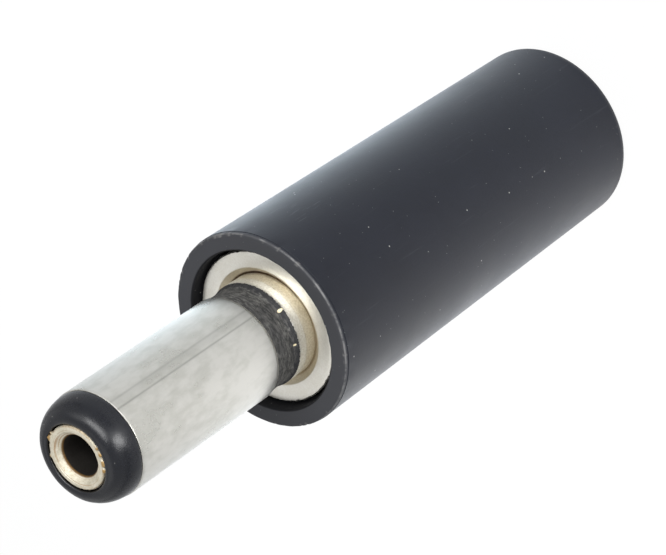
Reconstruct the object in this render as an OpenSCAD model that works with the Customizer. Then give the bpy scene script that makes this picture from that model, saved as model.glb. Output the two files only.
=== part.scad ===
// Inline DC power plug, 5.5 x 2.1 mm, with a screw-on cover: the kind that is soldered to a cord.
// It stands on the rear end of its cover with the tip up. The plug's axis is Z and z = 0 is the rear face.
// All sizes are in millimetres.

/* [Cover] */
// Length of the cover, rear face to front rim
cover_len = 24.7; // [22:0.1:32]
// Outer diameter at the front rim
cover_front_d = 10.3; // [9.8:0.05:13]
// Outer diameter at the rear end
cover_rear_d = 9.5; // [9.2:0.05:12]
// Radius of the rounded rear edge
rear_round = 0.6; // [0.2:0.05:1.1]
// Radius of the broken outer edge of the front rim
rim_round = 0.12; // [0.05:0.01:0.3]
// Thickness of the rear wall that the cord comes through
rear_wall = 1.6; // [1.2:0.1:3]
// Diameter of the cord hole in the rear wall
cord_hole_d = 5.2; // [3:0.1:6]
// Bevel round the cord hole, on the outside
cord_hole_bevel = 0.3; // [0.1:0.05:0.5]
// Radial room between the terminals and the wall of the cover
cavity_room = 0.2; // [0.1:0.05:0.4]
// Depth of the plain mouth in front of the cover's thread
mouth_depth = 1; // [0.6:0.1:1.5]
// Radial width of the step from the thread to the plain mouth
mouth_step = 0.1; // [0.05:0.01:0.2]
// Bevel on the inner edge of the front rim
mouth_bevel = 0.1; // [0.05:0.01:0.2]

/* [Thread] */
// Outer diameter of the thread on the body
thread_d = 8; // [7.9:0.05:8.4]
// Length of the threaded part of the body
thread_len = 5.2; // [4:0.1:7]
// Pitch of the thread
thread_pitch = 0.75; // [0.5:0.05:1]
// Depth of the thread
thread_depth = 0.3; // [0.2:0.05:0.4]
// Radial play between the two threads
thread_play = 0.1; // [0.05:0.01:0.15]
// How far the body's front face lies behind the cover's rim
face_recess = 0.5; // [0.2:0.1:0.9]

/* [Neck and black ring] */
// Diameter of the neck in front of the body's face
neck_d = 5.45; // [5.2:0.05:5.8]
// Length of the neck
neck_len = 0.95; // [0.7:0.05:1.6]
// Width of the groove round the neck's foot
groove_w = 0.4; // [0.3:0.01:0.5]
// Depth of the groove at the neck's wall
groove_depth = 0.35; // [0.2:0.01:0.45]
// Diameter of the black ring at its rear end
ring_d = 5.2; // [5:0.05:5.5]
// How far the black ring widens towards the barrel, all round
ring_draft = 0.06; // [0.02:0.01:0.1]
// Length of the black ring
ring_len = 1.55; // [1:0.05:2.5]
// Wall of the black ring
ring_wall = 0.3; // [0.2:0.05:0.5]
// Radial play of the black ring on the barrel's tail
ring_play = 0.05; // [0.02:0.01:0.1]
// Radius of the black ring's edges
ring_edge = 0.1; // [0.05:0.01:0.15]

/* [Barrel] */
// Outer diameter of the barrel
barrel_d = 5.5; // [5.4:0.05:5.8]
// Length of the barrel in front of the black ring
barrel_len = 10; // [6:0.1:12]
// Radius of the barrel's front and rear edges
barrel_edge = 0.12; // [0.05:0.01:0.2]
// Wall of the barrel's tail, which is pressed into the body
tail_wall = 0.3; // [0.2:0.05:0.4]
// Depth of the tail in the body
tail_grip = 3; // [2:0.1:3.5]

/* [Tip] */
// Length of the black nose in front of the barrel
nose_len = 1.45; // [1.2:0.05:2]
// Radius of the nose's rounded front edge
nose_round = 1; // [0.4:0.05:1.1]
// How far the nose's edge lies inside the barrel's surface
nose_step = 0.03; // [0:0.01:0.1]
// Depth of the seat for the contact's lip in the nose
lip_seat = 0.35; // [0.2:0.05:0.6]
// Radial gap round the contact's lip
lip_gap = 0.1; // [0.05:0.01:0.15]

/* [Centre contact] */
// Bore of the centre contact
contact_bore_d = 2.1; // [1.9:0.05:2.2]
// Depth of the bore
contact_bore_depth = 11; // [8:0.5:16]
// Wall of the contact's tube
contact_wall = 0.3; // [0.25:0.05:0.4]
// How far the lip stands out from the tube
lip_reach = 0.27; // [0.15:0.01:0.3]
// How far the lip stands in front of the nose
lip_proud = 0.05; // [0:0.01:0.15]
// Depth of the funnel at the mouth of the bore
funnel_depth = 0.35; // [0.2:0.05:0.6]
// Width of the funnel at the mouth of the bore
funnel_reach = 0.34; // [0.2:0.01:0.4]
// Diameter of the rivet at the contact's rear end
rivet_d = 1.6; // [1.2:0.05:1.8]
// How far the rivet's head stands out all round
rivet_reach = 0.45; // [0.3:0.05:0.5]
// Height of the rivet's head
rivet_head = 0.35; // [0.25:0.05:0.5]

/* [Terminals] */
// Thickness of the terminals' sheet
sheet_t = 0.45; // [0.3:0.05:0.5]
// Wall of the body's rear spigot, which holds the sleeve terminal
spigot_wall = 0.5; // [0.4:0.05:0.6]
// How far the spigot's turned-over edge stands out
spigot_lip = 0.2; // [0.1:0.05:0.3]
// Height of the turned-over edge
spigot_lip_len = 0.4; // [0.3:0.05:0.6]
// Gap between the spigot's edge and the sleeve terminal's tail
tail_gap = 0.1; // [0.05:0.05:0.3]
// Width of the sleeve terminal's tail
tail_w = 2.2; // [1.8:0.1:2.6]
// Length of the sleeve terminal behind the body
tail_len = 12.6; // [12:0.1:13]
// Width of the rim of the sleeve terminal round the spigot
terminal_rim = 0.5; // [0.4:0.05:0.6]
// Thickness of the insulating washer
washer_t = 0.6; // [0.4:0.05:1]
// Gap between the insulating washer and the sleeve terminal's tail
washer_gap = 0.15; // [0.05:0.05:0.4]
// Radius from the axis to the outside of the centre terminal's tag
tag_reach = 2.2; // [1.9:0.05:2.4]
// Width of the centre terminal's tag
tag_w = 1.9; // [1.6:0.1:2.2]
// Length of the centre terminal's tag
tag_len = 4.6; // [3.5:0.1:5]
// Diameter of the wire holes in both terminals
wire_hole_d = 1; // [0.8:0.05:1.2]
// Length of each cord-grip wing along the cord
wing_len = 1.5; // [1:0.1:1.8]
// Gap between the two wings along the cord
wing_gap = 0.3; // [0.2:0.1:0.5]
// How far the cord grip's curve lies outside the tail's flat
grip_set = 0.06; // [0.03:0.01:0.12]
// Angle that each wing bends round the cord
wing_angle = 115; // [80:5:130]
// Angle of the saddle under the cord, each way
saddle_angle = 40; // [30:5:50]

/* [Hidden] */
$fn = 96;

// Overlap of a cut past the surface that it opens
cut = 0.5;

// Levels from the rear face up
z_rim = cover_len;
z_face = z_rim - face_recess;
z_seat = z_face - thread_len;
z_neck = z_face + neck_len;
z_barrel = z_neck + ring_len;
z_nose = z_barrel + barrel_len;
z_tip = z_nose + nose_len;
z_lip = z_tip + lip_proud;

// Levels from the body's rear face down
z_spigot_lip = z_seat - sheet_t;
z_spigot_end = z_spigot_lip - spigot_lip_len;
z_washer = z_spigot_end - washer_t;
z_centre_terminal = z_washer - sheet_t;

// Diameters that follow from the pieces inside one another
contact_d = contact_bore_d + 2 * contact_wall;
lip_d = contact_d + 2 * lip_reach;
ring_bore_d = ring_d - 2 * ring_wall;
barrel_tail_d = ring_bore_d - 2 * ring_play;
insulator_d = barrel_tail_d - 2 * tail_wall;
spigot_d = insulator_d + 2 * spigot_wall;
spigot_lip_d = spigot_d + 2 * spigot_lip;
terminal_d = spigot_d + 2 * terminal_rim;

// The sleeve terminal's tail lies between the spigot's edge and the cover's wall
tail_in = spigot_lip_d / 2 + tail_gap;
tail_out = tail_in + sheet_t;
washer_d = 2 * (tail_in - washer_gap);
cavity_d = 2 * (norm([tail_out, tail_w / 2]) + cavity_room);

// The two threads: crest and root of each
body_root_d = thread_d - 2 * thread_depth;
cover_crest_d = thread_d + 2 * thread_play;
cover_root_d = cover_crest_d + 2 * thread_depth;
mouth_d = cover_crest_d + 2 * mouth_step;
thread_turns = floor((thread_len - thread_pitch / 2) / thread_pitch);
cover_turns = floor((thread_len + face_recess - mouth_depth) / thread_pitch);

// Ring that takes the corner off an upright edge of radius r at z = 0, with material above
module edge_ring(r, round) {
    rotate_extrude()
        difference() {
            translate([r - round, -cut])
                square([round + cut, round + cut]);
            translate([r - round, round])
                circle(r = round);
        }
}

// The same ring for an edge with material below
module top_edge_ring(r, round) {
    mirror([0, 0, 1])
        edge_ring(r, round);
}

// V-shaped ring between the radius where the groove opens and its root
module thread_groove(open_r, root_r) {
    rotate_extrude()
        polygon([[open_r, -thread_pitch / 2], [root_r, 0], [open_r, thread_pitch / 2]]);
}

// Groove that slopes down to the neck's foot; it runs on a little inside the neck, which fills it there
module foot_groove() {
    neck_r = neck_d / 2;
    inside = groove_w / 4;
    rotate_extrude()
        polygon([[neck_r - inside, -groove_depth * (1 + inside / groove_w)], [neck_r + groove_w, 0],
            [neck_r + groove_w, cut], [neck_r - inside, cut]]);
}

// Sheet strip that runs out from the axis along X and is bent rearward, with its top at z = 0
module bent_strip(reach, width, drop) {
    rotate([90, 0, 0])
        linear_extrude(width, center = true) {
            translate([0, -sheet_t])
                square([reach - sheet_t, sheet_t]);
            translate([reach - sheet_t, -drop])
                square([sheet_t, drop - sheet_t]);
            translate([reach - sheet_t, -sheet_t])
                intersection() {
                    circle(r = sheet_t);
                    square(sheet_t);
                }
        }
}

// Hole through a bent strip's tag, along X
module wire_hole(z) {
    translate([0, 0, z])
        rotate([0, 90, 0])
            cylinder(d = wire_hole_d, h = cover_front_d);
}

// Part of a tube round the cord between two angles counted from the tail's middle, thickened by extra
module grip_sector(from, to, length, extra = 0) {
    rotate([0, 0, 180 + from])
        rotate_extrude(angle = to - from)
            translate([tail_in + grip_set - extra, 0])
                square([sheet_t + 2 * extra, length]);
}

// Curved sheet under the cord with two staggered wings that fold over it
module cord_grip() {
    difference() {
        grip_sector(-wing_angle, wing_angle, 2 * wing_len + wing_gap);
        translate([0, 0, -cut])
            grip_sector(-wing_angle - saddle_angle, -saddle_angle, wing_len + wing_gap + cut, cut);
        translate([0, 0, wing_len])
            grip_sector(saddle_angle, wing_angle + saddle_angle, wing_len + wing_gap + cut, cut);
    }
}

// Tapered black shell with a rounded rear end, a thread inside its mouth and a hole for the cord
module cover() {
    color("#2c2d33")
        difference() {
            cylinder(d1 = cover_rear_d, d2 = cover_front_d, h = cover_len);
            edge_ring(cover_rear_d / 2, rear_round);
            translate([0, 0, z_rim])
                top_edge_ring(cover_front_d / 2, rim_round);
            // Cord hole and its bevel
            translate([0, 0, -cut])
                cylinder(d = cord_hole_d, h = rear_wall + 2 * cut);
            cylinder(d1 = cord_hole_d + 2 * cord_hole_bevel, d2 = cord_hole_d, h = cord_hole_bevel);
            // Room for the terminals, up to the seat of the body
            translate([0, 0, rear_wall])
                cylinder(d = cavity_d, h = z_seat - rear_wall + cut);
            // Thread and plain mouth
            translate([0, 0, z_seat])
                cylinder(d = cover_crest_d, h = z_rim - z_seat + cut);
            for (i = [0 : cover_turns - 1])
                translate([0, 0, z_seat + (i + 0.5) * thread_pitch])
                    thread_groove(cover_crest_d / 2 - thread_play / 2, cover_root_d / 2);
            translate([0, 0, z_rim - mouth_depth])
                cylinder(d = mouth_d, h = mouth_depth + cut);
            translate([0, 0, z_rim - mouth_bevel])
                cylinder(d1 = mouth_d, d2 = mouth_d + 2 * mouth_bevel, h = mouth_bevel);
        }
}

// Turned body: threaded drum with a grooved face and a neck in front, and a riveted spigot behind
module threaded_body() {
    color("#d3cdbd")
        difference() {
            union() {
                difference() {
                    translate([0, 0, z_seat])
                        cylinder(d = thread_d, h = thread_len);
                    translate([0, 0, z_face])
                        foot_groove();
                }
                translate([0, 0, z_face - tail_grip])
                    cylinder(d = neck_d, h = tail_grip + neck_len);
                translate([0, 0, z_spigot_end])
                    cylinder(d = spigot_d, h = z_seat - z_spigot_end);
                translate([0, 0, z_spigot_end])
                    cylinder(d1 = spigot_d, d2 = spigot_lip_d, h = spigot_lip_len);
            }
            for (i = [0 : thread_turns - 1])
                translate([0, 0, z_seat + (i + 0.75) * thread_pitch])
                    thread_groove(thread_d / 2 + thread_play / 2, body_root_d / 2);
            // Seat of the barrel's tail, and the insulating tube's passage behind it
            translate([0, 0, z_face - tail_grip])
                cylinder(d = barrel_tail_d, h = tail_grip + neck_len + cut);
            translate([0, 0, z_spigot_end - cut])
                cylinder(d = insulator_d, h = z_face - tail_grip - z_spigot_end + 2 * cut);
        }
}

// Black ring between the neck and the barrel, round the barrel's tail
module base_ring() {
    ring_front_d = ring_d + 2 * ring_draft;
    color("#1c1c1d")
        translate([0, 0, z_neck])
            difference() {
                cylinder(d1 = ring_d, d2 = ring_front_d, h = ring_len);
                edge_ring(ring_d / 2, ring_edge);
                translate([0, 0, ring_len])
                    top_edge_ring(ring_front_d / 2, ring_edge);
                translate([0, 0, -cut])
                    cylinder(d = ring_bore_d, h = ring_len + 2 * cut);
            }
}

// Outer contact: a turned tube with a thin tail that is pressed into the body
module barrel() {
    color("#cfcfca")
        difference() {
            union() {
                translate([0, 0, z_barrel])
                    cylinder(d = barrel_d, h = barrel_len);
                translate([0, 0, z_face - tail_grip])
                    cylinder(d = barrel_tail_d, h = z_barrel - z_face + tail_grip);
            }
            translate([0, 0, z_barrel])
                difference() {
                    edge_ring(barrel_d / 2, barrel_edge);
                    cylinder(d = barrel_tail_d, h = 2 * cut, center = true);
                }
            translate([0, 0, z_nose])
                top_edge_ring(barrel_d / 2, barrel_edge);
            translate([0, 0, z_face - tail_grip - cut])
                cylinder(d = insulator_d, h = z_nose - z_face + tail_grip + 2 * cut);
        }
}

// Black nose with a long tube that keeps the two contacts apart
module tip_insulator() {
    nose_d = barrel_d - 2 * nose_step;
    color("#161617")
        difference() {
            union() {
                translate([0, 0, z_nose])
                    cylinder(d = nose_d, h = nose_len);
                translate([0, 0, z_washer])
                    cylinder(d = insulator_d, h = z_nose - z_washer);
            }
            translate([0, 0, z_tip])
                top_edge_ring(nose_d / 2, nose_round);
            translate([0, 0, z_tip - lip_seat])
                cylinder(d = lip_d + 2 * lip_gap, h = lip_seat + cut);
            translate([0, 0, z_washer - cut])
                cylinder(d = contact_d, h = z_tip - z_washer + 2 * cut);
        }
}

// Inner contact: a tube with a rolled lip and a funnel in front, closed and riveted behind
module centre_contact() {
    lip_len = lip_seat + lip_proud;
    lip_round = lip_reach / 2;
    color("#d8cfb4")
        difference() {
            union() {
                translate([0, 0, z_washer])
                    cylinder(d = contact_d, h = z_lip - z_washer);
                translate([0, 0, z_lip - lip_len])
                    cylinder(d = lip_d, h = lip_len);
                translate([0, 0, z_centre_terminal])
                    cylinder(d = rivet_d, h = sheet_t);
                translate([0, 0, z_centre_terminal - rivet_head])
                    cylinder(d1 = rivet_d, d2 = rivet_d + 2 * rivet_reach, h = rivet_head);
            }
            translate([0, 0, z_lip])
                top_edge_ring(lip_d / 2, lip_round);
            translate([0, 0, z_lip - contact_bore_depth])
                cylinder(d = contact_bore_d, h = contact_bore_depth + cut);
            translate([0, 0, z_lip - funnel_depth])
                cylinder(d1 = contact_bore_d, d2 = contact_bore_d + 2 * funnel_reach, h = funnel_depth);
        }
}

// Pressed-fibre disc that keeps the centre terminal off the body
module insulating_washer() {
    color("#8a5a36")
        translate([0, 0, z_washer])
            difference() {
                cylinder(d = washer_d, h = washer_t);
                translate([0, 0, -cut])
                    cylinder(d = insulator_d, h = washer_t + 2 * cut);
            }
}

// Stamped terminal of the barrel: a ring on the spigot, a tail with a wire hole and a cord grip at its end
module sleeve_terminal() {
    color("#c9c4b4")
        difference() {
            union() {
                translate([0, 0, z_seat - sheet_t])
                    linear_extrude(sheet_t)
                        intersection() {
                            circle(d = terminal_d);
                            translate([-tail_in, -terminal_d / 2])
                                square(terminal_d);
                        }
                translate([0, 0, z_seat])
                    mirror([1, 0, 0])
                        bent_strip(tail_out, tail_w, tail_len);
                translate([0, 0, z_seat - tail_len])
                    cord_grip();
            }
            translate([0, 0, z_seat - sheet_t - cut])
                cylinder(d = spigot_d, h = sheet_t + 2 * cut);
            mirror([1, 0, 0])
                wire_hole(z_seat - tail_len / 2);
        }
}

// Stamped terminal of the centre contact: a disc under the rivet and a bent tag with a wire hole
module centre_terminal() {
    color("#c9c4b4")
        difference() {
            union() {
                translate([0, 0, z_centre_terminal])
                    cylinder(r = tag_reach - sheet_t, h = sheet_t);
                translate([0, 0, z_washer])
                    bent_strip(tag_reach, tag_w, tag_len - tag_w / 2);
                translate([tag_reach - sheet_t, 0, z_washer - tag_len + tag_w / 2])
                    rotate([0, 90, 0])
                        cylinder(d = tag_w, h = sheet_t);
            }
            translate([0, 0, z_centre_terminal - cut])
                cylinder(d = rivet_d, h = sheet_t + 2 * cut);
            wire_hole(z_washer - tag_len + tag_w / 2);
        }
}

cover();
threaded_body();
base_ring();
barrel();
tip_insulator();
centre_contact();
insulating_washer();
sleeve_terminal();
centre_terminal();
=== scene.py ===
import math
import random

import bmesh
import bpy
from mathutils import Matrix, Vector, noise


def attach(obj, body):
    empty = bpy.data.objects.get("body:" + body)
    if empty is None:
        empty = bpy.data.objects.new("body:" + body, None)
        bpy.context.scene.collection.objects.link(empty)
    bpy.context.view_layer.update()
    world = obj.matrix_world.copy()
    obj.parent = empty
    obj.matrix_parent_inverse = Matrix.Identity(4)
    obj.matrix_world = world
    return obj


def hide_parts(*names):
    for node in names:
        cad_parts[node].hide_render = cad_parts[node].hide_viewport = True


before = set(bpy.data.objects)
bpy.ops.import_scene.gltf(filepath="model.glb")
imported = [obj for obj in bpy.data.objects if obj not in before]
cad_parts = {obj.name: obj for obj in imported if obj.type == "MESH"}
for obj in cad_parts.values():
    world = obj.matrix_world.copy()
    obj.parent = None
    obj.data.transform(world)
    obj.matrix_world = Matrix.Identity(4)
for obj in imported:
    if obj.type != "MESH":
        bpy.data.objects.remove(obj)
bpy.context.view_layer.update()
scene = bpy.context.scene
scene.view_settings.view_transform = "Standard"

# Sizes of the part in millimetres, as its source has them
MM = 0.001
Z_RIM, Z_FACE, Z_SEAT = 24.7, 24.2, 19.0
Z_NECK, Z_BARREL, Z_NOSE, Z_TIP, Z_LIP = 25.15, 26.7, 36.7, 38.15, 38.2
Z_SPIGOT, Z_WASHER, Z_TAG, Z_TAIL, Z_WALL = 18.15, 17.55, 17.1, 21.2, 1.6
PITCH, THREAD_R, THREAD_DEPTH = 0.75, 4.0, 0.3
COVER_R0, COVER_R1, CAVITY_R, CORD_R = 4.75, 5.15, 3.584, 2.6
MOUTH_R, NUT_R, BARREL_R = 4.2, 4.1, 2.75
TAIL_R, TUBE_R, CONTACT_R, BORE_R = 2.25, 1.95, 1.35, 1.05


# Mesh helpers
def arc(r, z, radius, start, end, steps):
    """Points of a round in the profile's plane about (r, z), between two angles in degrees."""
    points = []
    for i in range(steps + 1):
        a = math.radians(start + (end - start) * i / steps)
        points.append((r + radius * math.cos(a), z + radius * math.sin(a)))
    return points


def line(start, end, steps):
    """Points from start up to, but not with, end."""
    (r0, z0), (r1, z1) = start, end
    return [(r0 + (r1 - r0) * i / steps, z0 + (z1 - z0) * i / steps) for i in range(steps)]


def lathe(name, profile, steps, shape, closed=True, sharp=32):
    """Turns a profile of (radius, height) points about Z.

    shape moves each point by its angle and gives its wear_and_shade value, for real wear and
    painted shade; edges over sharp degrees stay sharp.
    """
    verts, wear_and_shade, rings = [], [], []
    for r, z in profile:
        if r == 0:
            rings.append([len(verts)])
            verts.append((0, 0, z * MM))
            wear_and_shade.append(0.0)
            continue
        rings.append(range(len(verts), len(verts) + steps))
        for i in range(steps):
            a = 2 * math.pi * i / steps
            nr, nz, w = shape(r, z, a)
            verts.append((nr * math.cos(a) * MM, nr * math.sin(a) * MM, nz * MM))
            wear_and_shade.append(w)
    faces = []
    pairs = list(zip(rings, rings[1:]))
    if closed:
        pairs.append((rings[-1], rings[0]))
    for low, high in pairs:
        for i in range(steps):
            j = (i + 1) % steps
            if len(low) == 1:
                faces.append((low[0], high[j], high[i]))
            elif len(high) == 1:
                faces.append((low[i], low[j], high[0]))
            else:
                faces.append((low[i], low[j], high[j], high[i]))
    mesh = bpy.data.meshes.new(name)
    mesh.from_pydata(verts, [], faces)
    bm = bmesh.new()
    bm.from_mesh(mesh)
    bmesh.ops.recalc_face_normals(bm, faces=bm.faces)
    bm.to_mesh(mesh)
    bm.free()
    mesh.shade_smooth()
    mesh.set_sharp_from_angle(angle=math.radians(sharp))
    # Per point: real wear on the cover's chips, the ring's nicks and the contact's burrs, and
    # painted dark reflection along the barrel's seam
    marks = mesh.attributes.new("wear_and_shade", "FLOAT", "POINT")
    marks.data.foreach_set("value", wear_and_shade)
    piece = bpy.data.objects.new(name, mesh)
    scene.collection.objects.link(piece)
    return piece


def grain(a, z, scale, seed):
    """Smooth noise from -1 to 1 that closes on itself round the axis."""
    return noise.noise(Vector((math.cos(a) * scale, math.sin(a) * scale, z * scale * 0.35 + seed)))


def bump_at(a, degrees, width):
    """A smooth hump from 0 to 1 round one angle: a in radians, its place and width in degrees."""
    gap = abs((math.degrees(a) - degrees + 180) % 360 - 180) / width
    return math.exp(-gap * gap)


def thread(z, a, shift, steep=1.15):
    """Depth of a right-hand helical thread from 0 to 1; steeper than 1, its bottom is flat."""
    phase = (z / PITCH - a / (2 * math.pi) + shift) % 1
    return min(1, steep * (1 - abs(2 * phase - 1)))


def place(piece, body, node):
    """The piece stands for a solid and moves with its body."""
    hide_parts(node)
    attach(piece, body)


# Cover: a tapered shell with a chipped rim, a helical thread inside and a hole for the cord
END_ROUND, EDGE_ROUND, Z_STEP, Z_MOUTH = 0.6, 0.12, 24.4, 23.7
dice = random.Random(11)
CHIPS = [
    (dice.uniform(0, 360), dice.uniform(0.25, 0.7), dice.uniform(0.02, 0.06)) for _ in range(38)
]
CHIPS += [(-13, 0.9, 0.07), (-17, 1.3, 0.08), (-24, 1.0, 0.06)]
CHIPS += [(27, 0.7, 0.06), (-72, 0.8, 0.05), (-58, 0.6, 0.05)]


def chip(a):
    """Depth of the chips along the rim's outer edge, each with an angle, a width and a depth."""
    return max(depth * bump_at(a, at, width) for at, width, depth in CHIPS)


def cover_shape(r, z, a):
    """Chips the rim, makes its inner edge uneven and cuts the thread."""
    if z > Z_RIM - 0.3 and r > 4.8:
        d = chip(a) if z > Z_RIM - 0.14 and r > 4.95 else 0
        uneven = 0.012 * grain(a, 0, 9, 3) + 0.006 * grain(a, 0, 30, 4)
        return r - d * 0.4 + uneven, z - d * 0.45, min(1, d * 12)
    if r < 4.35 and z > Z_RIM - 0.35 and r > 4.15:
        return r + 0.02 * grain(a, 0, 14, 8), z, 0.0
    if 4.05 < r < 4.45 and Z_SEAT + 0.02 < z < Z_RIM - 1.02:
        fade = min(1, (z - Z_SEAT) / 0.3, (Z_RIM - 1.0 - z) / 0.3)
        return NUT_R + THREAD_DEPTH * thread(z, a, 0) * max(0, fade), z, 0.0
    return r, z, 0.0


def taper(z):
    """The cover's outer radius at a height."""
    return COVER_R0 + (COVER_R1 - COVER_R0) * z / Z_RIM


cover_profile = arc(taper(END_ROUND) - END_ROUND, END_ROUND, END_ROUND, -90, 0, 12)
cover_profile += line((taper(0.7), 0.7), (taper(Z_STEP), Z_STEP), 40)
cover_profile += [(taper(Z_STEP), Z_STEP), (taper(24.46), 24.46)]
cover_profile += [(taper(24.48) - 0.02, 24.475), (taper(24.5) - 0.022, 24.5)]
cover_profile += arc(taper(Z_RIM) - 0.142, Z_RIM - EDGE_ROUND, EDGE_ROUND, 0, 90, 6)
cover_profile += line((4.95, Z_RIM), (4.3, Z_RIM), 7)
cover_profile += [(4.3, Z_RIM), (4.26, Z_RIM - 0.03), (4.22, Z_RIM - 0.07)]
cover_profile += [(MOUTH_R, Z_RIM - 0.13), (MOUTH_R, Z_FACE), (MOUTH_R, Z_MOUTH + 0.05)]
cover_profile += [(MOUTH_R - 0.02, Z_MOUTH), (NUT_R, Z_MOUTH)]
cover_profile += line((NUT_R, Z_MOUTH - 0.04), (NUT_R, Z_SEAT + 0.04), 77)
cover_profile += [(NUT_R, Z_SEAT + 0.02), (NUT_R - 0.02, Z_SEAT), (CAVITY_R, Z_SEAT)]
cover_profile += [(CAVITY_R, 10), (CAVITY_R, Z_WALL + 0.15), (CAVITY_R - 0.15, Z_WALL)]
cover_profile += [(CORD_R + 0.05, Z_WALL), (CORD_R, Z_WALL - 0.05)]
cover_profile += [(CORD_R, 0.3), (CORD_R + 0.3, 0)]
cover = lathe("cover_shell", cover_profile, 360, cover_shape)
place(cover, "cover", "cover")

# Threaded body: a helical thread, a flat face with a ragged edge, and a neck in a groove
SPIGOT_R, GROOVE_R, NECK_R, COLLAR_R, Z_BEAD = 2.45, 3.15, 2.715, 2.725, 24.57


def body_shape(r, z, a):
    """Cuts the thread, frays the face's edge and makes the face and the neck uneven."""
    if abs(r - THREAD_R) < 0.02 and Z_SEAT < z <= Z_FACE:
        run_out = (Z_FACE - 0.12 - z + 0.1 * grain(a, 0, 3, 21)) / 0.3
        fade = max(0, min(1, run_out, (z - Z_SEAT) / 0.25))
        r -= THREAD_DEPTH * thread(z, a, 0.5) * fade
        if z > Z_FACE - 0.25:
            r += 0.028 * grain(a, 0, 26, 5) + 0.02 * grain(a, 0, 9, 15)
            r -= 0.1 * (bump_at(a, -20, 1.6) + bump_at(a, -31, 2.2)) + 0.05 * bump_at(a, -12, 3)
        return min(r, THREAD_R + 0.03), z, 0.0
    if r > 3.8 and z >= Z_FACE - 0.04:
        ragged = 0.045 * grain(a, 0, 26, 5) + 0.03 * grain(a, 0, 60, 25)
        return min(r + ragged, THREAD_R + 0.02), z, 0.0
    if r > 3.12 and z >= Z_FACE - 0.01:
        return r, z + 0.004 * grain(a, r * 3, 7, 9), 0.0
    if 2.71 < r < 3.12 and z > Z_FACE - 0.4:
        return r + 0.003 * grain(a, z * 3, 12, 10), z, 0.0
    return r, z, 0.0


body_profile = [(TUBE_R, Z_SPIGOT), (2.42, Z_SPIGOT), (2.46, Z_SPIGOT + 0.02)]
body_profile += [(2.64, Z_SPIGOT + 0.36), (2.65, Z_SPIGOT + 0.4), (SPIGOT_R, Z_SPIGOT + 0.4)]
body_profile += [(SPIGOT_R, Z_SEAT), (3.9, Z_SEAT), (THREAD_R, Z_SEAT + 0.1)]
body_profile += line((THREAD_R, Z_SEAT + 0.14), (THREAD_R, Z_FACE - 0.04), 90)
body_profile += [(THREAD_R, Z_FACE - 0.075), (THREAD_R - 0.01, Z_FACE - 0.06)]
body_profile += [(THREAD_R - 0.065, Z_FACE - 0.005), (THREAD_R - 0.08, Z_FACE)]
body_profile += [(3.7, Z_FACE), (3.4, Z_FACE), (GROOVE_R, Z_FACE)]
body_profile += [(3.125, Z_FACE - 0.006), (3.105, Z_FACE - 0.02), (3.085, Z_FACE - 0.04)]
body_profile += line((3.06, Z_FACE - 0.065), (2.745, Z_FACE - 0.34), 5)
body_profile += [(2.745, Z_FACE - 0.34), (COLLAR_R, Z_FACE - 0.345), (NECK_R, Z_FACE - 0.335)]
body_profile += line((NECK_R, Z_FACE - 0.3), (NECK_R, Z_BEAD), 8)
body_profile += [(NECK_R, Z_BEAD), (COLLAR_R, Z_BEAD + 0.015), (COLLAR_R + 0.005, Z_BEAD + 0.03)]
body_profile += line((COLLAR_R, Z_BEAD + 0.05), (COLLAR_R, Z_NECK - 0.03), 6)
body_profile += [(COLLAR_R, Z_NECK - 0.03), (NECK_R, Z_NECK - 0.008), (2.695, Z_NECK)]
body_profile += [(TAIL_R, Z_NECK), (TAIL_R, Z_TAIL), (TUBE_R, Z_TAIL)]
body = lathe("body", body_profile, 384, body_shape)
place(body, "insert", "threaded_body")

# Black ring: rough outer side with a frayed edge and two nicks
RING_IN_R, RING_MAX_R = 2.3, 2.735


def ring_shape(r, z, a):
    """Roughens the outer side, spreads and frays its lower edge and marks the nicks as wear."""
    if r < 2.5:
        return r, z, 0.0
    low = z - Z_NECK
    rough = 0.018 * grain(a, z, 34, 2) + 0.012 * grain(a, z * 2, 70, 7)
    if low < 0.3:
        rough += (0.13 + 0.045 * grain(a, 0, 22, 31)) * (1 - low / 0.3)
    nick = max(
        bump_at(a, -84, 2.2) * math.exp(-((low - 0.13) / 0.15) ** 2),
        0.9 * bump_at(a, -123.6, 1.4) * math.exp(-((low - 0.17) / 0.12) ** 2),
    )
    if low < 0.02:
        z -= max(0, 0.03 + 0.06 * grain(a, 0, 25, 12) + 0.06 * grain(a, 0, 55, 13))
        return RING_MAX_R, z, nick
    return min(r + rough - 0.04 * nick, RING_MAX_R), z, nick


ring_profile = [(RING_IN_R, Z_NECK), (2.55, Z_NECK)]
ring_profile += arc(2.57, Z_NECK + 0.03, 0.03, -90, 0, 3)
ring_profile += line((2.605, Z_NECK + 0.14), (2.655, Z_BARREL - 0.1), 20)
ring_profile += arc(2.56, Z_BARREL - 0.1, 0.1, 0, 90, 4) + [(RING_IN_R, Z_BARREL)]
ring = lathe("base_ring_rough", ring_profile, 360, ring_shape, sharp=60)
place(ring, "lift", "base_ring")

# Barrel: a plated tube with a fine lengthwise seam
BACK_ROUND, FRONT_ROUND = 0.12, 0.025


def barrel_shape(r, z, a):
    """Sinks the seam's two lines, and marks them and a soft band between them in the
    wear_and_shade attribute for a painted dark reflection.
    """
    if r > 2.6:
        seam_and_shade = bump_at(a, -74, 0.9) + 0.5 * bump_at(a, -64, 1.1)
        r += 0.004 * grain(a, z * 0.4, 4, 6) - 0.006 * seam_and_shade
        # The returned value is painted dark reflection: the seam's two lines and a soft band at
        # -67 degrees between them
        return min(r, BARREL_R + 0.002), z, seam_and_shade + 0.35 * bump_at(a, -67, 6)
    return r, z, 0.0


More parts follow.
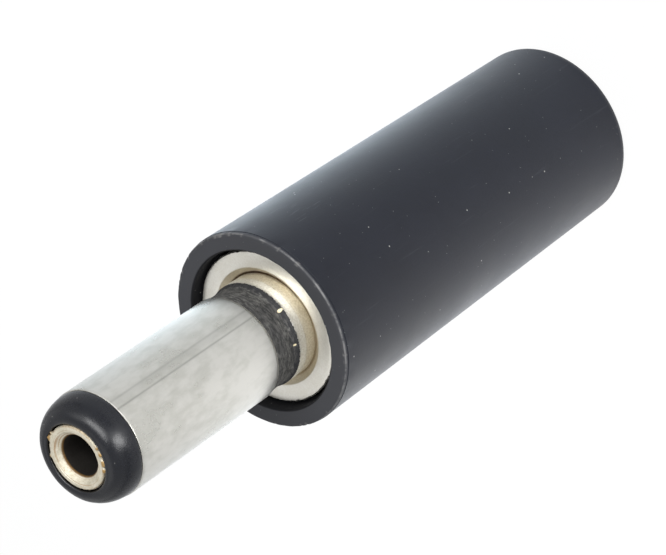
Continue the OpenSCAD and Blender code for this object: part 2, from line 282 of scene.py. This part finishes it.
barrel_profile = [(TUBE_R, Z_TAIL), (TAIL_R, Z_TAIL), (TAIL_R, Z_BARREL), (2.55, Z_BARREL)]
barrel_profile += arc(BARREL_R - BACK_ROUND, Z_BARREL + BACK_ROUND, BACK_ROUND, -90, 0, 5)
barrel_profile += line((BARREL_R, Z_BARREL + 0.2), (BARREL_R, Z_NOSE - 0.2), 40)
barrel_profile += [(BARREL_R, Z_NOSE - 0.2)]
barrel_profile += arc(BARREL_R - FRONT_ROUND, Z_NOSE - FRONT_ROUND, FRONT_ROUND, 0, 90, 3)
barrel_profile += [(TUBE_R, Z_NOSE)]
barrel = lathe("barrel_tube", barrel_profile, 480, barrel_shape)
place(barrel, "insert", "barrel")

# Nose: a black ring, round as an ellipse, with a long insulating tube behind it
NOSE_MID_R, NOSE_WIDE, NOSE_LONG, LIP_SEAT_R = 1.9, 0.82, 1.52, 1.72
NOSE_STEPS, NOSE_TURN = 24, 3.6


def nose_shape(r, z, a):
    """Makes the moulded round slightly wavy and its inner edge uneven."""
    if z > Z_NOSE + 0.05 and r > 1.7:
        wave = 0.006 * grain(a, z, 3, 17) + 0.0025 * grain(a, z * 3, 14, 19)
        edge = 0.012 * grain(a, 0, 17, 23) if r < 1.78 else 0
        return r + wave + edge, z + wave * 0.6, 0.0
    return r, z, 0.0


nose_profile = [(CONTACT_R, Z_WASHER), (TUBE_R - 0.05, Z_WASHER), (TUBE_R, Z_WASHER + 0.05)]
nose_profile += [(TUBE_R, Z_NOSE), (2.68, Z_NOSE), (2.71, Z_NOSE + 0.02)]
for step in range(1, NOSE_STEPS + 1):
    turn = math.radians(step * NOSE_TURN)
    wide, long = NOSE_WIDE * math.cos(turn), NOSE_LONG * math.sin(turn)
    nose_profile.append((NOSE_MID_R + wide, Z_NOSE + long))
nose_profile += [(1.85, Z_NOSE + 1.515), (1.79, Z_NOSE + 1.495), (1.745, Z_NOSE + 1.455)]
nose_profile += [(LIP_SEAT_R, Z_NOSE + 1.4), (LIP_SEAT_R, Z_TIP - 0.35), (CONTACT_R, Z_TIP - 0.35)]
nose = lathe("nose", nose_profile, 256, nose_shape, sharp=50)
place(nose, "insert", "tip_insulator")

# Centre contact: a hollow pin with a worn, slightly torn lip and a funnel
LIP_R, LIP_ROUND, LIP_DROP = 1.65, 0.12, 0.05
RIVET_R, SHANK_R, BORE_DEPTH = 1.25, 0.8, 11
BURRS = [(-123, 5, 1.0), (-108, 3.5, 0.8), (-136, 4, 0.7), (-96, 3, 0.6)]
BURRS += [(28, 5, 0.9), (17, 3, 0.5), (62, 3, 0.5)]


def contact_shape(r, z, a):
    """Tears the lip and marks its burrs as wear, each with an angle, a width and a share."""
    if z > Z_LIP - 0.3 and r > 1.45:
        torn = 0.02 * grain(a, 0, 16, 41) + 0.013 * grain(a, 0, 34, 43)
        burr = max(bump_at(a, at, width) * share for at, width, share in BURRS)
        top = z > Z_LIP - 0.1
        out = burr * (0.17 + 0.1 * grain(a, 0, 40, 45)) if top else burr * 0.06
        level = z - LIP_DROP * (1 - burr) + 0.01 * grain(a, 0, 12, 44)
        return min(r + torn + out, 1.77 if top and burr > 0.2 else 1.7), level, burr
    if z > Z_LIP - 0.5:
        drop = LIP_DROP if z > Z_LIP - 0.04 else 0
        return r + 0.01 * grain(a, z, 12, 47), z - drop + 0.006 * grain(a, r * 4, 9, 48), 0.0
    return r, z, 0.0


contact_profile = [(0, Z_TAG - 0.35), (0.75, Z_TAG - 0.35), (0.85, Z_TAG - 0.3)]
contact_profile += [(RIVET_R - 0.02, Z_TAG - 0.04), (RIVET_R, Z_TAG), (SHANK_R, Z_TAG)]
contact_profile += [(SHANK_R, Z_WASHER), (CONTACT_R, Z_WASHER), (CONTACT_R, Z_LIP - 0.4)]
contact_profile += [(LIP_R - 0.02, Z_LIP - 0.4), (LIP_R, Z_LIP - 0.37), (LIP_R, Z_LIP - 0.25)]
contact_profile += arc(LIP_R - LIP_ROUND, Z_LIP - LIP_ROUND, LIP_ROUND, 0, 90, 7)
contact_profile += [(1.46, Z_LIP)] + arc(1.42, Z_LIP - 0.03, 0.03, 90, 135, 3)
contact_profile += line((1.38, Z_LIP - 0.03), (1.07, Z_LIP - 0.33), 6)
contact_profile += [(1.06, Z_LIP - 0.35), (BORE_R, Z_LIP - 0.4), (BORE_R, Z_LIP - 3)]
contact_profile += [(BORE_R, Z_LIP - BORE_DEPTH), (0, Z_LIP - BORE_DEPTH)]
contact = lathe("contact_pin", contact_profile, 256, contact_shape, closed=False)
place(contact, "insert", "centre_contact")


# Shader helpers
def put(tree, socket, value):
    """Links another node's socket to this one, or sets a constant on it."""
    if isinstance(value, bpy.types.NodeSocket):
        tree.links.new(value, socket)
    else:
        socket.default_value = value


def add(tree, kind, inputs=None, **settings):
    """Adds a node; an input is a value or another node's socket."""
    made = tree.nodes.new("ShaderNode" + kind)
    for key, value in settings.items():
        setattr(made, key, value)
    for key, value in (inputs or {}).items():
        put(tree, made.inputs[key], value)
    return made


def calc(tree, operation, a, b=0.0):
    return add(tree, "Math", {0: a, 1: b}, operation=operation).outputs[0]


def times(tree, a, b):
    return calc(tree, "MULTIPLY", a, b)


def blend(tree, factor, a, b):
    """Mixes two colours."""
    return add(tree, "Mix", {0: factor, 6: a, 7: b}, data_type="RGBA").outputs[2]


def tint(tree, base, mask, share, colour):
    """Lays a share of a colour over the base where the mask is."""
    return blend(tree, times(tree, mask, share), base, colour)


def fit(tree, value, low, high, to_low=0.0, to_high=1.0):
    """Maps a range of a value smoothly onto another."""
    keys = {"Value": value, "From Min": low, "From Max": high, "To Min": to_low, "To Max": to_high}
    return add(tree, "MapRange", keys, interpolation_type="SMOOTHSTEP").outputs[0]


def speckle(tree, vector, scale, detail=3.0, rough=0.55):
    """Noise, most of it between the two values of NOISE."""
    keys = {"Vector": vector, "Scale": scale, "Detail": detail, "Roughness": rough}
    return add(tree, "TexNoise", keys).outputs["Fac"]


def stretch(tree, vector, scale):
    return add(tree, "VectorMath", {0: vector, 1: scale}, operation="MULTIPLY").outputs[0]


def start_material(name):
    """A new material with its place on the part in millimetres: point, radius and height."""
    mat = bpy.data.materials.new(name)
    mat.use_nodes = True
    tree = mat.node_tree
    shader = tree.nodes["Principled BSDF"]
    point = stretch(tree, add(tree, "TexCoord").outputs["Object"], (1000, 1000, 1000))
    x, y, height = add(tree, "SeparateXYZ", {0: point}).outputs
    radius = calc(tree, "SQRT", calc(tree, "ADD", times(tree, x, x), times(tree, y, y)))
    return mat, tree, shader, point, radius, height


def connect(tree, shader, **inputs):
    """Sets the shader's inputs; an underscore in a name is a space."""
    for key, value in inputs.items():
        put(tree, shader.inputs[key.replace("_", " ")], value)


def bump(tree, height, strength, distance):
    """A bumped normal; the distance is in millimetres."""
    keys = {"Height": height, "Strength": strength, "Distance": distance * MM}
    return add(tree, "Bump", keys).outputs[0]


# Real wear on most parts, and painted dark reflection along the barrel's seam
def wear_and_shade_mask(tree):
    return add(tree, "Attribute", attribute_name="wear_and_shade").outputs["Fac"]


def turned(tree, point, radius, height, scale):
    """Fine rings left by turning: noise across radius and height that drifts round the axis."""
    rings = add(tree, "CombineXYZ", {0: radius, 1: height}).outputs[0]
    drift = stretch(tree, point, (0.05, 0.05, 0.05))
    drifting = add(tree, "VectorMath", {0: rings, 1: drift}, operation="ADD").outputs[0]
    return speckle(tree, drifting, scale, 3)


def dust(tree, point, scale, size, share):
    """Scattered specks: a mask of small dots in a share of the cells."""
    cells = add(tree, "TexVoronoi", {"Vector": point, "Scale": scale}).outputs
    lot = add(tree, "SeparateColor", {0: cells["Color"]}).outputs[0]
    chosen = calc(tree, "GREATER_THAN", lot, 1 - share)
    dot = fit(tree, cells["Distance"], size * scale, size * scale * 0.5)
    return times(tree, dot, chosen)


NOISE = (0.3, 0.7)

# Cover: charcoal moulded plastic with dust, faint scratches and a worn edge round the rim
mat_cover, t, bsdf, point, radius, height = start_material("cover_plastic")
cloud = speckle(t, point, 0.35, 4)
fine = speckle(t, point, 9, 2)
lines = speckle(t, stretch(t, point, (5, 5, 0.25)), 1.0, 3)
worn = speckle(t, point, 1.3, 5, 0.65)
rim = times(t, fit(t, height, Z_RIM - 0.2, Z_RIM - 0.04), fit(t, radius, 4.25, 4.32))
edge = times(t, fit(t, height, Z_RIM - 0.11, Z_RIM - 0.075), fit(t, radius, 5.06, 5.085))
inside = times(t, fit(t, radius, 4.32, 4.25), fit(t, height, Z_WALL - 0.1, Z_WALL + 0.1))
tone = blend(t, fit(t, cloud, *NOISE), (0.0022, 0.0034, 0.0085, 1), (0.0036, 0.005, 0.011, 1))
tone = tint(t, tone, fit(t, lines, 0.63, 0.75), 0.22, (0.03, 0.033, 0.042, 1))
tone = tint(t, tone, rim, 0.9, (0.05, 0.0515, 0.058, 1))
tone = tint(t, tone, inside, 0.8, (0.005, 0.005, 0.006, 1))
tone = tint(t, tone, edge, fit(t, worn, 0.4, 0.62, 0.1, 0.8), (0.2, 0.2, 0.2, 1))
patch = add(t, "VectorMath", {0: point, 1: (3.85, -3.35, 21)}, operation="DISTANCE")
slanted = add(t, "VectorRotate", {0: point, 3: 0.9}).outputs[0]
scratch = speckle(t, stretch(t, slanted, (9, 9, 0.6)), 1.0, 3)
scratch = times(t, fit(t, scratch, 0.6, 0.7), fit(t, patch.outputs["Value"], 2.2, 0.3))
tone = tint(t, tone, scratch, 0.35, (0.1, 0.105, 0.12, 1))
tone = tint(t, tone, dust(t, point, 1.5, 0.045, 0.35), 0.8, (0.4, 0.4, 0.38, 1))
tone = tint(t, tone, dust(t, point, 3.5, 0.022, 0.3), 0.55, (0.36, 0.36, 0.35, 1))
tone = tint(t, tone, wear_and_shade_mask(t), 0.5, (0.3, 0.29, 0.28, 1))
gloss = calc(t, "ADD", fit(t, cloud, *NOISE, 0.36, 0.42), times(t, rim, 0.16))
gloss = calc(t, "MAXIMUM", gloss, times(t, inside, 0.85))
relief = calc(t, "ADD", fine, times(t, lines, 0.5))
connect(t, bsdf, Base_Color=tone, Roughness=gloss, IOR=1.375, Normal=bump(t, relief, 0.1, 0.02))

# Body: satin nickel over brass, a painted tan shade down the groove, painted dark shade at its
# root that is darker on one side, and grainy round the neck
mat_body, t, bsdf, point, radius, height = start_material("body_nickel")
cloud = speckle(t, point, 1.3, 4)
fine = turned(t, point, radius, height, 16)
groove = times(t, fit(t, radius, 3.14, 3.08), fit(t, height, Z_FACE, Z_FACE - 0.04))
groove = times(t, groove, fit(t, radius, 2.727, 2.74))
root = times(t, fit(t, height, Z_FACE - 0.24, Z_FACE - 0.31), fit(t, radius, 2.9, 2.8))
neck = times(t, fit(t, radius, 2.76, 2.73), fit(t, height, Z_FACE - 0.4, Z_FACE - 0.35))
tone = blend(t, fit(t, cloud, *NOISE), (0.73, 0.71, 0.645, 1), (0.77, 0.755, 0.7, 1))
tone = tint(t, tone, neck, 0.8, (0.87, 0.855, 0.8, 1))
lower = times(t, neck, fit(t, height, Z_BEAD + 0.05, Z_BEAD - 0.01))
tone = tint(t, tone, lower, 0.5, (0.88, 0.84, 0.74, 1))
# Painted shade down the groove's sloped wall: a tan tint
tone = tint(t, tone, groove, 0.85, (0.66, 0.6, 0.48, 1))
# Painted shade at the groove's root: dark brown, darkest on the side towards (0.94, -0.34) and
# lighter round the other side
side = add(t, "VectorMath", {0: point, 1: (0.94, -0.34, 0)}, operation="DOT_PRODUCT")
one_side = fit(t, side.outputs["Value"], 0.9, 2.3)
root_shade = blend(t, one_side, (0.44, 0.38, 0.28, 1), (0.11, 0.07, 0.04, 1))
tone = blend(t, root, tone, root_shade)
behind = times(t, fit(t, height, Z_FACE - 0.3, Z_FACE - 1), fit(t, radius, 3.4, 3.5))
tone = tint(t, tone, behind, 0.5, (0.5, 0.46, 0.38, 1))
tone = tint(t, tone, dust(t, point, 2.2, 0.03, 0.2), 0.7, (0.12, 0.09, 0.06, 1))
satin = speckle(t, point, 11, 3, 0.6)
coarse = fit(t, calc(t, "MAXIMUM", neck, groove), 0, 1, 0.12, 0.32)
tone = tint(t, tone, fit(t, satin, 0.42, 0.6), coarse, (0.44, 0.39, 0.3, 1))
gloss = calc(t, "ADD", fit(t, cloud, *NOISE, 0.41, 0.46), fit(t, fine, *NOISE, -0.02, 0.02))
gloss = calc(t, "SUBTRACT", gloss, times(t, neck, 0.06))
relief = calc(t, "ADD", fine, times(t, satin, times(t, coarse, 8)))
connect(t, bsdf, Base_Color=tone, Metallic=1.0, Roughness=gloss)
connect(t, bsdf, Normal=bump(t, relief, 0.06, 0.02))

# Black ring: matt and scratchy, with metal showing in two nicks
mat_ring, t, bsdf, point, _, height = start_material("ring_plastic")
fibre = speckle(t, stretch(t, point, (1, 1, 3.5)), 3.2, 5, 0.7)
fine = speckle(t, stretch(t, point, (1, 1, 2)), 14, 4, 0.65)
tone = blend(t, fit(t, fibre, 0.38, 0.68), (0.01, 0.01, 0.0105, 1), (0.14, 0.137, 0.128, 1))
tone = tint(t, tone, fit(t, fine, 0.56, 0.7), 0.45, (0.2, 0.195, 0.175, 1))
patch = speckle(t, point, 0.9, 3)
# Painted shade round the ring's foot, where it meets the neck; dark also takes random darker
# patches
foot_shade = fit(t, calc(t, "ADD", height, times(t, fibre, 0.5)), Z_NECK + 0.57, Z_NECK + 0.4)
dark = calc(t, "MAXIMUM", foot_shade, fit(t, patch, 0.56, 0.4, 0.0, 0.6))
tone = tint(t, tone, dark, 0.85, (0.009, 0.009, 0.011, 1))
nicks = fit(t, wear_and_shade_mask(t), 0.35, 0.6)
tone = blend(t, nicks, tone, (0.8, 0.72, 0.5, 1))
gloss = fit(t, fine, *NOISE, 0.5, 0.75)
connect(t, bsdf, Base_Color=tone, Metallic=nicks, Roughness=gloss, IOR=1.48)
connect(t, bsdf, Normal=bump(t, calc(t, "ADD", fine, fibre), 0.5, 0.03))

# Barrel: satin nickel, slightly cloudy, with handling marks, and a painted dark reflection on the
# seam's lines and the band between them
mat_barrel, t, bsdf, point, _, _ = start_material("barrel_nickel")
cloud = speckle(t, stretch(t, point, (1, 1, 0.6)), 0.55, 4)
fine = speckle(t, stretch(t, point, (1, 1, 0.5)), 2.4, 3)
marks = speckle(t, stretch(t, point, (6, 6, 0.35)), 1.0, 4)
cloudy = fit(t, calc(t, "ADD", cloud, fine), 0.8, 1.2)
tone = blend(t, cloudy, (0.535, 0.53, 0.488, 1), (0.62, 0.61, 0.572, 1))
tone = tint(t, tone, fit(t, marks, 0.6, 0.74), 0.25, (0.45, 0.45, 0.42, 1))
# Painted dark reflection: the seam's two lines and the soft band between them are darkened
tone = tint(t, tone, wear_and_shade_mask(t), 0.62, (0.28, 0.28, 0.26, 1))
gloss = calc(t, "ADD", fit(t, cloud, *NOISE, 0.27, 0.34), fit(t, fine, *NOISE, -0.02, 0.02))
connect(t, bsdf, Base_Color=tone, Metallic=1.0, Roughness=gloss, Anisotropic=0.35)
connect(t, bsdf, Tangent=add(t, "Tangent", direction_type="RADIAL", axis="Z").outputs[0])
connect(t, bsdf, Normal=bump(t, calc(t, "ADD", fine, marks), 0.03, 0.02))

# Nose: glossy black plastic with a fine grain and a few specks
mat_nose, t, bsdf, point, radius, height = start_material("tip_plastic")
cloud = speckle(t, point, 0.9, 3)
fine = speckle(t, point, 12, 3)
tone = blend(t, fit(t, cloud, *NOISE), (0.002, 0.0028, 0.006, 1), (0.0033, 0.0042, 0.0075, 1))
seat = times(t, fit(t, radius, 1.76, 1.73), fit(t, height, Z_NOSE + 1, Z_NOSE + 1.05))
tone = blend(t, seat, tone, (0.004, 0.004, 0.004, 1))
tone = tint(t, tone, dust(t, point, 2.2, 0.032, 0.6), 0.8, (0.4, 0.39, 0.37, 1))
gloss = calc(t, "ADD", fit(t, cloud, *NOISE, 0.23, 0.29), fit(t, fine, 0.4, 0.8, 0.0, 0.1))
connect(t, bsdf, Base_Color=tone, Roughness=gloss, IOR=1.44, Normal=bump(t, fine, 0.17, 0.02))

# Centre contact: thin nickel with a gold tint, brown at its burrs and streaks, with painted shade
# in the bore
mat_contact, t, bsdf, point, radius, height = start_material("contact_nickel")
cloud = speckle(t, point, 2.6, 4)
fine = speckle(t, point, 16, 3)
tone = blend(t, fit(t, cloud, *NOISE), (0.56, 0.525, 0.425, 1), (0.68, 0.645, 0.55, 1))
tone = tint(t, tone, fit(t, fine, 0.58, 0.72), 0.5, (0.42, 0.3, 0.14, 1))
torn = times(t, fit(t, radius, 1.53, 1.6), fit(t, cloud, 0.42, 0.56))
tone = tint(t, tone, torn, 0.5, (0.34, 0.22, 0.09, 1))
burr = fit(t, calc(t, "ADD", wear_and_shade_mask(t), times(t, fine, 0.5)), 0.5, 0.8)
burr = times(t, burr, fit(t, radius, 1.56, 1.62))
tone = tint(t, tone, burr, 0.85, (0.4, 0.25, 0.08, 1))
streak = fit(t, turned(t, point, radius, height, 10), 0.54, 0.64)
streak = times(t, streak, fit(t, radius, 1.44, 1.38))
tone = tint(t, tone, streak, 0.6, (0.36, 0.2, 0.08, 1))
edge = times(t, fit(t, height, Z_LIP - 0.25, Z_LIP - 0.34), fit(t, radius, 1.15, 1.1))
tone = blend(t, edge, tone, (0.2, 0.12, 0.05, 1))
# Painted shade: the bore's wall below the funnel is made almost black
bore_shade = times(t, fit(t, height, Z_LIP - 0.34, Z_LIP - 0.44), fit(t, radius, 1.12, 1.08))
tone = blend(t, bore_shade, tone, (0.05, 0.046, 0.042, 1))
connect(t, bsdf, Base_Color=tone, Metallic=1.0, Roughness=fit(t, fine, *NOISE, 0.6, 0.76))
connect(t, bsdf, Normal=bump(t, calc(t, "ADD", fine, cloud), 0.12, 0.03))

# Stamped terminals and the fibre washer, which keep their solids' shapes
mat_terminal, t, bsdf, point, _, _ = start_material("terminal_nickel")
cloud = speckle(t, point, 1.2, 4)
rolled = speckle(t, stretch(t, point, (9, 9, 0.8)), 1.0, 3)
tone = blend(t, fit(t, cloud, *NOISE), (0.52, 0.49, 0.41, 1), (0.63, 0.6, 0.52, 1))
tone = tint(t, tone, fit(t, rolled, 0.55, 0.72), 0.4, (0.4, 0.34, 0.24, 1))
connect(t, bsdf, Base_Color=tone, Metallic=1.0, Roughness=fit(t, rolled, *NOISE, 0.28, 0.42))
connect(t, bsdf, Normal=bump(t, rolled, 0.12, 0.02))

mat_washer, t, bsdf, point, _, _ = start_material("washer_fibre")
fibre = speckle(t, stretch(t, point, (1, 1, 3)), 5, 5, 0.65)
tone = blend(t, fit(t, fibre, 0.32, 0.7), (0.17, 0.075, 0.03, 1), (0.32, 0.16, 0.07, 1))
connect(t, bsdf, Base_Color=tone, Roughness=fit(t, fibre, *NOISE, 0.65, 0.85))
connect(t, bsdf, Normal=bump(t, fibre, 0.4, 0.03))

for piece, mat in (
    (cover, mat_cover),
    (body, mat_body),
    (ring, mat_ring),
    (barrel, mat_barrel),
    (nose, mat_nose),
    (contact, mat_contact),
    (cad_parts["sleeve_terminal"], mat_terminal),
    (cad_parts["centre_terminal"], mat_terminal),
    (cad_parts["insulating_washer"], mat_washer),
):
    piece.data.materials.clear()
    piece.data.materials.append(mat)


# Stage: a pale floor that looks almost white, under a plain bright world
def show_white(tree, output, plain, white, direct, reflected):
    """Mixes white into a plain shader: one share for camera rays, another for reflections."""
    path = add(tree, "LightPath").outputs
    bounced = calc(tree, "MAXIMUM", path["Is Glossy Ray"], path["Is Transmission Ray"])
    seen = times(tree, path["Is Camera Ray"], direct)
    share = calc(tree, "MAXIMUM", seen, times(tree, bounced, reflected))
    shown = add(tree, "MixShader", {0: share, 1: plain, 2: white}).outputs[0]
    tree.links.new(shown, tree.nodes[output].inputs["Surface"])


FLOOR_R, FLOOR_DROP = 0.6, 0.00005
bm = bmesh.new()
bmesh.ops.create_circle(bm, cap_ends=True, segments=64, radius=FLOOR_R)
floor_mesh = bpy.data.meshes.new("floor")
bm.to_mesh(floor_mesh)
bm.free()
floor = bpy.data.objects.new("floor", floor_mesh)
floor.location.z = -FLOOR_DROP
scene.collection.objects.link(floor)
mat_floor = bpy.data.materials.new("floor")
mat_floor.use_nodes = True
t = mat_floor.node_tree
t.nodes.remove(t.nodes["Principled BSDF"])
plain = add(t, "BsdfDiffuse", {"Color": (0.82, 0.82, 0.82, 1)}).outputs[0]
white = add(t, "Emission", {"Color": (1, 1, 1, 1), "Strength": 1.0}).outputs[0]
show_white(t, "Material Output", plain, white, 0.97, 0.125)
floor.data.materials.append(mat_floor)

world = bpy.data.worlds.new("studio")
world.use_nodes = True
t = world.node_tree
soft = add(t, "Background", {"Color": (0.95, 0.97, 1, 1), "Strength": 0.2}).outputs[0]
white = add(t, "Background", {"Color": (1, 1, 1, 1), "Strength": 1.0}).outputs[0]
show_white(t, "World Output", soft, white, 1.0, 0.74)
scene.world = world


def softbox(name, spot, facing, size, power, colour=(1, 1, 1)):
    """An area lamp that faces a point and isn't seen itself; lengths in metres."""
    data = bpy.data.lights.new(name, "AREA")
    data.shape = "RECTANGLE"
    data.size, data.size_y = size
    data.energy = power
    data.color = colour
    lamp = bpy.data.objects.new(name, data)
    lamp.location = spot
    lamp.rotation_euler = (Vector(spot) - Vector(facing)).to_track_quat("Z", "Y").to_euler()
    lamp.visible_camera = False
    scene.collection.objects.link(lamp)


def toward(azimuth, elevation, away, centre):
    """The point at a distance from the centre in a direction in degrees."""
    a, e = math.radians(azimuth), math.radians(elevation)
    way = Vector((math.cos(e) * math.cos(a), math.cos(e) * math.sin(a), math.sin(e)))
    return Vector(centre) + away * way


# High lamps: azimuth, elevation and distance from the point that each one faces, size and power
MIDDLE, FRONT_END = (0, 0, 0.025), (0, 0, 0.037)
for name, azimuth, elevation, away, facing, size, power in (
    ("over", 140, 70, 0.25, MIDDLE, (0.2, 0.2), 0.08),
    ("key", -60, 42, 0.3, MIDDLE, (0.25, 0.12), 0.7),
    ("fill", -14, 42, 0.3, MIDDLE, (0.2, 0.15), 0.11),
    ("front", -107, 3, 0.2, FRONT_END, (0.08, 0.1), 0.25),
):
    softbox(name, toward(azimuth, elevation, away, facing), facing, size, power)

# Low lamps, which light patches of the floor that the cover and the barrel mirror
for name, spot, size, power, colour in (
    ("table", (-0.021, 0.002, 0.018), (0.024, 0.045), 0.009, (0.99, 0.99, 1)),
    ("side", (0.018, 0.014, 0.016), (0.02, 0.026), 0.0078, (0.68, 0.85, 1)),
    ("back", (-0.001, 0.03, 0.018), (0.034, 0.036), 0.0086, (0.85, 0.93, 1)),
):
    softbox(name, spot, (spot[0], spot[1], 0), size, power, colour)

# Camera: the photograph's view, a long lens that looks down along the tilted plug
WIDTH_PX, HEIGHT_PX, FOCAL_PX, SENSOR = 666, 555, 3600, 36
RIM_X_PX, RIM_Y_PX, PX_PER_MM = 260.2, 331.2, 20.918
pitch, yaw = math.radians(42.57), math.radians(-34.596)
forward = Vector((0, math.cos(pitch), -math.sin(pitch)))
level = Vector((1, 0, 0))
below = Vector((0, -math.sin(pitch), -math.cos(pitch)))
right = math.sin(yaw) * level + math.cos(yaw) * below
down = -math.cos(yaw) * level + math.sin(yaw) * below
depth = FOCAL_PX * MM / PX_PER_MM
across = ((RIM_X_PX - WIDTH_PX / 2) / FOCAL_PX) * right
along = ((RIM_Y_PX - HEIGHT_PX / 2) / FOCAL_PX) * down
where = Vector((0, 0, Z_RIM * MM)) - depth * (across + along + forward)
camera_data = bpy.data.cameras.new("camera")
camera_data.sensor_fit = "HORIZONTAL"
camera_data.sensor_width = SENSOR
camera_data.lens = SENSOR * FOCAL_PX / WIDTH_PX
camera_data.clip_start = 0.01
camera = bpy.data.objects.new("camera", camera_data)
turn = Matrix((right, -down, -forward)).transposed().to_4x4()
camera.matrix_world = Matrix.Translation(where) @ turn
scene.collection.objects.link(camera)
scene.camera = camera
